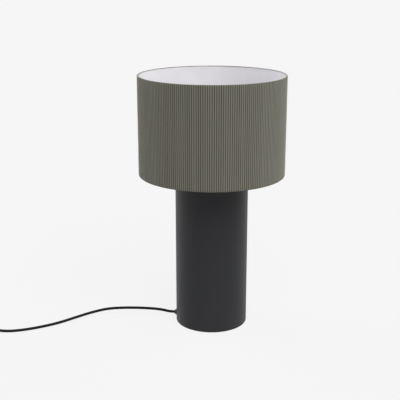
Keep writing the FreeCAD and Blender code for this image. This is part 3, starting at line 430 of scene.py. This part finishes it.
# in over the top with a small rolled bead, down behind the cloth, and in under the foot
hem_rows = np.concatenate([
    [(hem_reach, cover_top)], (hem_reach, cover_top) - hem_bead,
    [(cover_back, cover_top - hem_thick), (cover_back, cover_foot + hem_thick)],
    [(hem_reach, cover_foot + hem_thick), (hem_reach, cover_foot)],
])
cover_outer = wrapped(radius_rows, turn_rows, cover_foot + rows_up)
cover_grid = np.concatenate([cover_outer, turned(hem_rows, rib_count * rib_samples)])
hem_path = np.concatenate([[(cover_root, cover_top)], hem_rows, [(cover_root, cover_foot)]])
hem_run = cover_high + np.cumsum(np.linalg.norm(np.diff(hem_path, axis=0), axis=1))
cover_u = np.append(rib_along, rib_count)
cover_v = np.concatenate([rows_up, hem_run]) / (2 * math.pi * cover_crest / rib_count)

# the furrow colour is painted shade: the cloth darkens from its own colour on the crests down into the
# furrows
cloth_furrow_shade = (0.0675, 0.065, 0.0525, 1)
cloth_crest = (0.269, 0.260, 0.209, 1)
cloth_nap = 0.00022
pile_stretch = (9, 2.2, 1)
thread_turn = 9.0
rib_cloth, shader, paint = new_finish("rib_cloth", {
    "Sheen Weight": 1.0, "Sheen Roughness": 0.3, "Sheen Tint": (1.0, 0.99, 0.9, 1),
    "Specular IOR Level": 0.2,
})
spot = paint.node("ShaderNodeUVMap", {"uv_map": "weave"})
run = axis_of(paint, spot, "X")
rise = axis_of(paint, spot, "Y")
# 1 on a rib's crest, 0 down in its furrows; it blends the painted furrow shade into the crest colour
crest = 1 - (run.math("FRACT") * 2 - 1).math("ABSOLUTE")
each_rib = paint.node("ShaderNodeTexWhiteNoise", {"noise_dimensions": "1D"}, {"W": run.math("FLOOR")})
pile_place = paint.node("ShaderNodeMapping", None, {"Vector": spot, "Scale": pile_stretch})
pile = noise(paint, pile_place, scale=1.4, detail=4)
thread = (rise * thread_turn).math("SINE") * 0.5 + 0.5
worn_tone = each_rib * 0.16 + pile * 0.3 + thread * 0.06
paint.feed(shader, {
    "Base Color": (crest.ramp(0.0, 0.75) * (worn_tone + 0.7)).mix(cloth_furrow_shade, cloth_crest),
    "Roughness": pile * 0.1 + 0.86,
    "Normal": raised(paint, pile * 0.7 + thread * 0.3, cloth_nap),
})
cover = quads("cloth_cover", [cover_grid], rib_cloth, "shade", rows_meet=True, uv=(cover_u, cover_v))
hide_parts("shade_cover")

# Bulb: an opal plastic globe glued on a white moulded collar, with a metal board between them.
# Below are a screw cap, its thread rolled in nickel-plated sheet, a glassy insulator and a soldered tip.
opal_shaded = (0.82, 0.81, 0.78, 1)
opal_bright = (0.88, 0.87, 0.85, 1)
opal, shader, paint = new_finish("opal", {})
where = own_place(paint)
milk = noise(paint, where, scale=25)
paint.feed(shader, {
    "Base Color": milk.mix(opal_shaded, opal_bright),
    "Roughness": milk * 0.1 + 0.3,
    "Normal": raised(paint, noise(paint, where, scale=1800), 0.00001),
})
bulb_plastic = moulded("bulb_plastic", (0.78, 0.78, 0.77, 1), roughness=0.4, scale=1500, depth=0.00004)
board_face = metal("board_face", (0.75, 0.75, 0.74, 1), roughness=0.35, streak=1.0, scale=500)
solder = metal("solder", grey(0.6), roughness=0.4, streak=1.0, scale=700)
nickel = metal("nickel", (0.66, 0.64, 0.6, 1), roughness=0.28, streak=4.0, scale=600)
black_glass = moulded("black_glass", grey(0.008), roughness=0.2, scale=300, depth=0.00002)
dress(opal, "bulb_globe")
dress(bulb_plastic, "bulb_collar")
dress(board_face, "bulb_board")
dress(solder, "bulb_contact")
dress(black_glass, "bulb_insulator")
cap_foot, cap_top = foot_and_top("bulb_cap")
cap_bore = 0.0118
cap_columns = 96
thread_root = 0.0123
thread_depth = 0.0008
thread_pitch = 0.0036286
thread_fade = 0.0015
cap_rows = np.linspace(0, cap_top - cap_foot, 81)
cap_turn = np.linspace(0, 2 * np.pi, cap_columns, endpoint=False)
runout = np.clip(np.minimum(cap_rows, cap_rows[-1] - cap_rows) / thread_fade, 0, 1)[:, None]
# a round ridge that climbs by the pitch in each turn and runs out at both ends
ridge = 0.5 - 0.5 * np.cos(2 * np.pi * cap_rows[:, None] / thread_pitch - cap_turn)
cap_outer = wrapped(thread_root + thread_depth * ridge * runout, cap_turn, cap_foot + cap_rows)
cap_inner = turned([(cap_bore, cap_top), (cap_bore, cap_foot)], cap_columns)
cap = quads("screw_cap", [np.concatenate([cap_outer, cap_inner])], nickel, "bulb", rows_meet=True)
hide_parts("bulb_cap")

# Mains lead: 5.8 mm round black cord, about 1.9 m. It springs clear of the table by the gland, settles on
# it before the switch, and the rest is put away in a neat tied coil with the plug beside it.
tail_side = -0.56959
plug_height = 0.00685
run_route = np.array([
    cord_exit, (-0.0912, 0.00959, 0.0114), (-0.106, 0.0128, 0.0143), (-0.130, 0.0162, 0.0156),
    (-0.160, 0.019, 0.0159), (-0.194, 0.0195, 0.0157), (-0.226, 0.0164, 0.015), (-0.258, 0.007, 0.0108),
    (-0.290, -0.008, 0.006), (-0.324, -0.0305, 0.0029), (-0.358, -0.051, 0.0029), (-0.392, -0.066, 0.0029),
    (-0.425, -0.0735, 0.0029), (-0.455, -0.075, 0.0075), (-0.473, -0.075, 0.0075), (-0.494, -0.075, 0.0075),
    (-0.515, -0.075, 0.0075), (-0.533, -0.075, 0.0075), (-0.548, -0.082, 0.0058), (-0.560, -0.097, 0.0043),
    (-0.5645, -0.115, 0.0038), (-0.56639, -0.1322, 0.0038),
])
coil_middle = np.array([-0.5275, -0.157])
coil_inside = 0.020
coil_step = 0.0063
coil_turns = 3
coil_climb = 0.5
coil_floor = 0.0038
coil_creep = coil_step / (2 * math.pi)
coil_outside = coil_inside + coil_step * coil_turns
coil_leaves = coil_inside + coil_step * (coil_turns + coil_climb)
lead_in = math.atan(coil_creep / coil_outside)
lead_out = math.atan(coil_creep / coil_leaves)
coil_total = 2 * coil_turns + 2 * coil_climb + (lead_in + lead_out) / (2 * math.pi)
points_a_turn = 16
wound = np.linspace(0, coil_total, round(coil_total * points_a_turn) + 1)
# winds in by a step a turn, dips and climbs in the half turn where it reverses, then winds out above
climbing = np.clip((wound - coil_turns) / coil_climb, 0, 1) * np.pi
coil_radius = np.where(wound <= coil_turns, coil_outside - coil_step * wound,
                       coil_inside + coil_step * np.maximum(wound - coil_turns - coil_climb, 0))
coil_radius = (coil_radius - coil_creep * np.sin(climbing)) / math.cos(math.pi / points_a_turn)
coil_angle = np.pi - lead_in + 2 * np.pi * wound
coil_route = np.stack([coil_middle[0] + coil_radius * np.cos(coil_angle),
                       coil_middle[1] + coil_radius * np.sin(coil_angle),
                       coil_floor + coil_step * (1 - np.cos(climbing)) / 2], -1)
tail_route = np.array([(tail_side, -0.1728, 0.0101), (tail_side, -0.1818, plug_height),
                       (tail_side, -0.1908, plug_height), (tail_side, -0.201, plug_height)])
lead_route = np.concatenate([run_route, coil_route, tail_route])
lead = cord_curve("mains_lead", lead_route, cord_radius, cord_jacket)
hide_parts("cord_run", "cord_link", "cord_coil", "cord_tail")

# Switch: an in-line rocker switch of two black thermoplastic shells, screwed together from below.
# The upper shell has drafted walls, a soft edge and a rimmed window for the rocker.


def stations(along, wide, high, corner, middle=0.0):
    """Rows for sections(), each value an array or one number for all the rows."""
    return np.stack(np.broadcast_arrays(along, wide, high, corner, middle), -1).reshape(-1, 5)


def sections(rows, columns=64):
    """Grid of rounded rectangles as (along, across, up) points: a quarter circle about each corner's centre.

    Each row gives its place along, half width, half height, corner size and its middle's height.
    """
    along, wide, high, corner, middle = np.asarray(rows, float).T[..., None]
    turn = (np.arange(columns) + 0.5) * 2 * np.pi / columns
    across = np.sign(np.cos(turn)) * (wide - corner) + corner * np.cos(turn)
    up = middle + np.sign(np.sin(turn)) * (high - corner) + corner * np.sin(turn)
    return np.stack([np.broadcast_to(along, across.shape), across, up], -1)


switch_middle = np.array([-0.494, -0.075, 0])
switch_long = 0.031
switch_wide = 0.013
switch_edge = 0.0024
switch_draft = 0.0004
switch_seam = 0.00755
switch_top = 0.0156
switch_roof = 0.0142
switch_wall = 0.0018
window_long = 0.0105
window_wide = 0.0045
window_corner = 0.0006
window_rim = 0.016
frame_foot = 0.0116
frame_margin = 0.0022
soft_step = 0.0002


def shell_rows(rows):
    """The switch's round-ended outline, drawn in by an inset, for each (height, inset)."""
    height, inset = np.transpose(rows)
    return stations(height, switch_long - inset, switch_wide - inset, switch_wide - inset)


def window_rows(rows):
    """The rocker window's outline, widened by a margin, for each (height, margin)."""
    height, margin = np.transpose(rows)
    return stations(height, window_long + margin, window_wide + margin, window_corner + margin)


# up the outside from the seam, over the window's rim, down to its frame, and back inside to the seam
edge_arc = rim(switch_draft + switch_edge, switch_top - switch_edge, switch_edge, 180, 90, 7)[:, ::-1]
switch_rows = np.concatenate([
    shell_rows([(switch_seam, 0.0003), (0.0078, 0.00005), (0.0082, 0), *edge_arc]),
    window_rows([
        (switch_top, 0.0018), (0.01564, 0.0016), (0.0159, 0.0013), (window_rim, 0.001), (window_rim, 0.0005),
        (0.0159, soft_step), (switch_top, 0), (frame_foot + soft_step, 0), (frame_foot, soft_step),
        (frame_foot, frame_margin - soft_step), (frame_foot + soft_step, frame_margin),
        (switch_roof, frame_margin),
    ]),
    shell_rows([(switch_roof, 0.0034), (0.0136, 0.0022), (0.0128, switch_wall), (switch_seam, switch_wall)]),
])
switch_plastic = moulded("switch_plastic", grey(0.012), roughness=0.5, scale=1900, depth=0.00006)
shell_grid = sections(switch_rows, 96)[..., [1, 2, 0]] + switch_middle
shell = quads("switch_cover", [shell_grid], switch_plastic, "lamp", rows_meet=True)
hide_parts("switch_upper")
dress(switch_plastic, "switch_lower")
dress(zinc_plate, "switch_screws")
dress(brass, "switch_strips")

# Rocker: a glossy black moulded bar with a hollowed top for the thumb.
# It rocks on two stub pins in the upper shell, and rests with one end pressed down.
rocker_long = 0.010
rocker_wide = 0.004
rocker_round = 0.0007
rocker_rise = 0.0023
rocker_dish = 0.0006
rocker_depth = 0.0022
rocker_keel = 0.00165
rocker_tilt = math.radians(7)
rocker_axis = switch_middle + (0, 0, 0.0136)
dish_place = np.linspace(-0.0085, 0.0085, 15)
# the top dips to the middle as a parabola, the keel rises straight to both ends, and arcs round the ends off
end_turn = np.radians(np.linspace(0, 90, 6))
end_place = rocker_long - rocker_round + rocker_round * np.sin(end_turn)
end_inset = rocker_round * (1 - np.cos(end_turn))
bar_place = np.concatenate([-end_place[::-1], dish_place, end_place])
bar_inset = np.concatenate([end_inset[::-1], np.zeros_like(dish_place), end_inset])
bar_share = np.abs(bar_place) / rocker_long
bar_top = rocker_rise - rocker_dish * (1 - bar_share ** 2) - bar_inset
bar_foot = -rocker_depth + rocker_keel * bar_share + bar_inset
bar_rows = stations(bar_place, rocker_wide - bar_inset, (bar_top - bar_foot) / 2, rocker_round,
                    (bar_top + bar_foot) / 2)
bar_rows = np.concatenate([bar_rows[:1] * (1, 0, 0, 0, 1), bar_rows, bar_rows[-1:] * (1, 0, 0, 0, 1)])
tilt_turn = np.array([[math.cos(rocker_tilt), 0, -math.sin(rocker_tilt)], [0, 1, 0],
                      [math.sin(rocker_tilt), 0, math.cos(rocker_tilt)]])
rocker_gloss = moulded("rocker_gloss", grey(0.010), roughness=0.28, scale=1200, depth=0.00001)
rocker_grid = sections(bar_rows, 48) @ tilt_turn + rocker_axis
rocker = quads("rocker_key", [rocker_grid], rocker_gloss, "rocker")
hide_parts("switch_rocker")

# Plug: a flat two-pin plug moulded in soft black plastic over the cord, with a ringed strain relief.
# The nickel-plated pins have domed ends and plastic sleeves over their first half.
plug_axis = np.array([tail_side, 0, plug_height])
plug_turn = np.array([[0, -1, 0], [1, 0, 0], [0, 0, 1]])
relief_back = 0.1908
plug_back = 0.2128
plug_front = 0.2458
plug_wide = 0.0165
plug_high = 0.00685
plug_corner = 0.0032
neck_wide = 0.0062
neck_high = 0.0058
neck_corner = 0.0056
relief_tip = 0.0036
relief_flare = 0.0018
relief_groove = 0.0006
relief_rings = 6
flank_long = 0.018
grip_back = 0.0146
grip_long = 0.0118
grip_depth = 0.0005
grip_rings = 5
face_round = 0.0015
face_line = 0.0095
face_step = 0.0005
# a ringed cone, a smooth widening from the neck, a grip of shallow waves, and a face with rounded edges
relief = np.linspace(0, 1, 67)
relief_ring = 0.5 - 0.5 * np.cos(2 * np.pi * relief_rings * relief)
relief_size = relief_tip + relief_flare * relief
relief_size -= relief_groove * relief_ring * np.sin(np.pi * relief) ** 0.5
flank = np.linspace(0, 1, 16)[1:]
flank_ease = flank * flank * (3 - 2 * flank)
grip = np.linspace(0, 1, 41)
grip_ring = grip_depth * (0.5 - 0.5 * np.cos(2 * np.pi * grip_rings * grip))
face_inset, face_back = rim(face_round, face_round, face_round, 180, 270, 7).T
plug_rows = np.concatenate([
    stations(relief_back, 0, 0, 0),
    stations(relief_back + (plug_back - relief_back) * relief, relief_size, relief_size, relief_size),
    stations(plug_back + flank_long * flank, neck_wide + (plug_wide - neck_wide) * flank_ease,
             neck_high + (plug_high - neck_high) * np.minimum(1, 6 * flank),
             neck_corner + (plug_corner - neck_corner) * flank_ease),
    stations(plug_front - grip_back + grip_long * grip,
             plug_wide - grip_ring, plug_high - grip_ring, plug_corner),
    stations(plug_front - face_back,
             plug_wide - face_inset, plug_high - face_inset, plug_corner - face_inset),
    stations(plug_front, face_line + face_step, face_step, face_step),
    stations(plug_front, face_line, 0, 0),
])
plug_vinyl = moulded("plug_vinyl", grey(0.013), roughness=0.55, scale=1500, depth=0.00006)
plug_grid = sections(plug_rows, 96) @ plug_turn + plug_axis
plug = quads("plug_moulding", [plug_grid], plug_vinyl, "lamp")
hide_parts("plug_body")
pin_foot = plug_front - 0.001
pin_sleeved = plug_front + 0.010
pin_tip = plug_front + 0.019
pin_radius = 0.002
pin_core = 0.0014
pin_dome = 0.0014
pin_break = 0.0001
pin_offset = np.array([0.0093, 0, 0])
# thin under the sleeve, full from the sleeve's end, and domed at the tip
pin_place, pin_size = np.transpose([
    (pin_foot, 0), (pin_foot, pin_core), (pin_sleeved, pin_core), (pin_sleeved, pin_radius - pin_break),
    (pin_sleeved + 2 * pin_break, pin_radius),
    *rim(pin_radius - pin_dome, pin_tip - pin_dome, pin_dome, 0, 90, 8)[:, ::-1], (pin_tip, 0),
])
pin_grid = sections(stations(pin_place, pin_size, pin_size, pin_size), 40) @ plug_turn + plug_axis
pins = quads("contact_pins", [pin_grid + pin_offset, pin_grid - pin_offset], nickel, "lamp")
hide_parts("plug_pins")
dress(switch_plastic, "plug_sleeves")

# Coil tie: a black woven strap, 8 mm wide, wrapped once round the coil's turns.
# Its free end laps over its start and is pressed down on the top.
strap_half = 0.0004
strap_wide = 0.004
strap_corner = 0.0003
strap_middle = np.array([-0.5275, -0.126475, 0.00695])
strap_steps = 200
strap_start = 0.004
strap_lap = 0.019
lap_rise = 2.2 * strap_half
lap_early = 0.001
lap_climb = 0.005
loop_wide = 0.015325
loop_high = 0.00695
loop_corner = 0.0026
loop_columns = 96
loop_begins = 23
# a line once round the turns' outline and on, which climbs in a smooth step where it laps over its start
loop_row = stations(0, loop_wide - strap_half, loop_high - strap_half, loop_corner)
loop = np.roll(sections(loop_row, loop_columns)[0, :, 1:], -loop_begins, 0)
loop = np.concatenate([loop, loop[:1]])
loop_run = np.append(0, np.cumsum(np.linalg.norm(np.diff(loop, axis=0), axis=1)))
loop_length = loop_run[-1]
strap_run = np.linspace(strap_start, loop_length + strap_lap, strap_steps)
strap_line = np.stack([np.interp(strap_run % loop_length, loop_run, loop[:, axis]) for axis in (0, 1)], -1)
strap_heading = np.gradient(strap_line, axis=0)
strap_heading /= np.linalg.norm(strap_heading, axis=1, keepdims=True)
strap_out = np.stack([strap_heading[:, 1], -strap_heading[:, 0]], -1)
lift = np.clip((strap_run - loop_length + lap_early) / lap_climb, 0, 1)
strap_line = strap_line + strap_out * (lap_rise * lift * lift * (3 - 2 * lift))[:, None]
strap_section = sections(stations(0, strap_wide, strap_half, strap_corner), 32)[0, :, 1:]
strap_step = np.arange(strap_steps)
strap_taper = np.minimum(1, np.minimum(strap_step, strap_step[::-1]) / 2)[:, None]
strap_across = strap_section[:, 0] * (strap_taper > 0)
strap_thick = strap_section[:, 1] * strap_taper
strap_grid = np.stack([strap_across, strap_line[:, :1] + strap_out[:, :1] * strap_thick,
                       strap_line[:, 1:] + strap_out[:, 1:] * strap_thick], -1) + strap_middle
weave_turn = 9000
weave_depth = 0.00012
tie_weave, shader, paint = new_finish("tie_weave", {"Specular IOR Level": 0.25})
where = own_place(paint)
across, back, up = (axis_of(paint, where, axis) for axis in "XYZ")
weave = (across * weave_turn).math("SINE") * ((back + up) * weave_turn).math("SINE") * 0.5 + 0.5
fuzz = noise(paint, where, scale=1800, detail=3)
paint.feed(shader, {
    "Base Color": (weave * 0.6 + fuzz * 0.4).mix(grey(0.012), grey(0.04)),
    "Roughness": fuzz * 0.1 + 0.85,
    "Normal": raised(paint, weave, weave_depth),
})
tie = quads("coil_strap", [strap_grid], tie_weave, "lamp")
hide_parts("coil_tie")

# Stage: a pale table that runs into the same pale background, a broad soft light from above the viewer,
# weaker ones from both sides, and a camera at the photograph's height and distance.
pale = 0.922
ambient = 0.22
table_tone = 0.25
shadow_share = 0.3
table_reach = 60
table_drop = 0.0003
camera_lens = 73.26
camera_sensor = 36
camera_place = (-0.0242, -1.62467, 0.73609)
camera_pitch = 16.13


def soft_light(name, azimuth, elevation, spread, strength):
    """A distant soft lamp; azimuth 0 is the viewer's side and 90 the right, all angles in degrees."""
    lamp = bpy.data.lights.new(name, "SUN")
    lamp.angle = math.radians(spread)
    lamp.energy = strength
    stand = bpy.data.objects.new(name, lamp)
    stand.rotation_euler = (math.radians(90 - elevation), 0, math.radians(azimuth))
    bpy.context.scene.collection.objects.link(stand)


lights = {
    "front_light": (24, 55, 50, 2.5),
    "right_light": (120, 20, 50, 1.0),
    "left_light": (-120, 20, 50, 1.4),
}
for name, settings in lights.items():
    soft_light(name, *settings)


def background(paint):
    """1 for rays that should meet the pale background: from the camera, a gloss or a clear piece."""
    made = paint.tree.nodes.new("ShaderNodeLightPath")
    rays = ("Is Camera Ray", "Is Glossy Ray", "Is Transmission Ray")
    from_camera, from_gloss, from_clear = (Signal(paint.tree, made.outputs[ray]) for ray in rays)
    return (from_camera + from_gloss + from_clear).math("MINIMUM", 1)


corners = [(-table_reach, -table_reach, -table_drop), (table_reach, -table_reach, -table_drop),
           (table_reach, table_reach, -table_drop), (-table_reach, table_reach, -table_drop)]
table_mesh = bpy.data.meshes.new("table")
table_mesh.from_pydata(corners, [], [(0, 1, 2, 3)])
table = bpy.data.objects.new("table", table_mesh)
bpy.context.scene.collection.objects.link(table)
# its own light and a glow are mixed, so that it looks as pale as the background where nothing shades it
falling = math.pi * ambient
falling += sum(strength * math.sin(math.radians(rise)) for turn, rise, spread, strength in lights.values())
table_lit = table_tone * falling / math.pi
table_glow = (pale - shadow_share * table_lit) / (1 - shadow_share)
table_top, shader, paint = new_finish("table_top", {"Base Color": grey(table_tone), "Roughness": 0.9,
                                                    "Specular IOR Level": 0.0})
glow = paint.node("ShaderNodeEmission", None, {"Color": grey(table_glow), "Strength": 1.0})
lit = Signal(paint.tree, shader.outputs[0])
seen = paint.node("ShaderNodeMixShader", None, {0: background(paint) * (1 - shadow_share), 1: lit, 2: glow})
paint.feed(paint.tree.nodes["Material Output"], {"Surface": seen})
table_mesh.materials.append(table_top)

world = bpy.data.worlds.new("studio")
world.use_nodes = True
bpy.context.scene.world = world
paint = Signal(world.node_tree)
sky = world.node_tree.nodes["Background"]
paint.feed(sky, {"Color": grey(1.0), "Strength": background(paint) * (pale - ambient) + ambient})

camera_data = bpy.data.cameras.new("camera")
camera_data.lens = camera_lens
camera_data.sensor_width = camera_sensor
camera = bpy.data.objects.new("camera", camera_data)
camera.location = camera_place
camera.rotation_euler = (math.radians(90 - camera_pitch), 0, 0)
bpy.context.scene.collection.objects.link(camera)
bpy.context.scene.camera = camera
bpy.context.scene.view_settings.view_transform = "Standard"
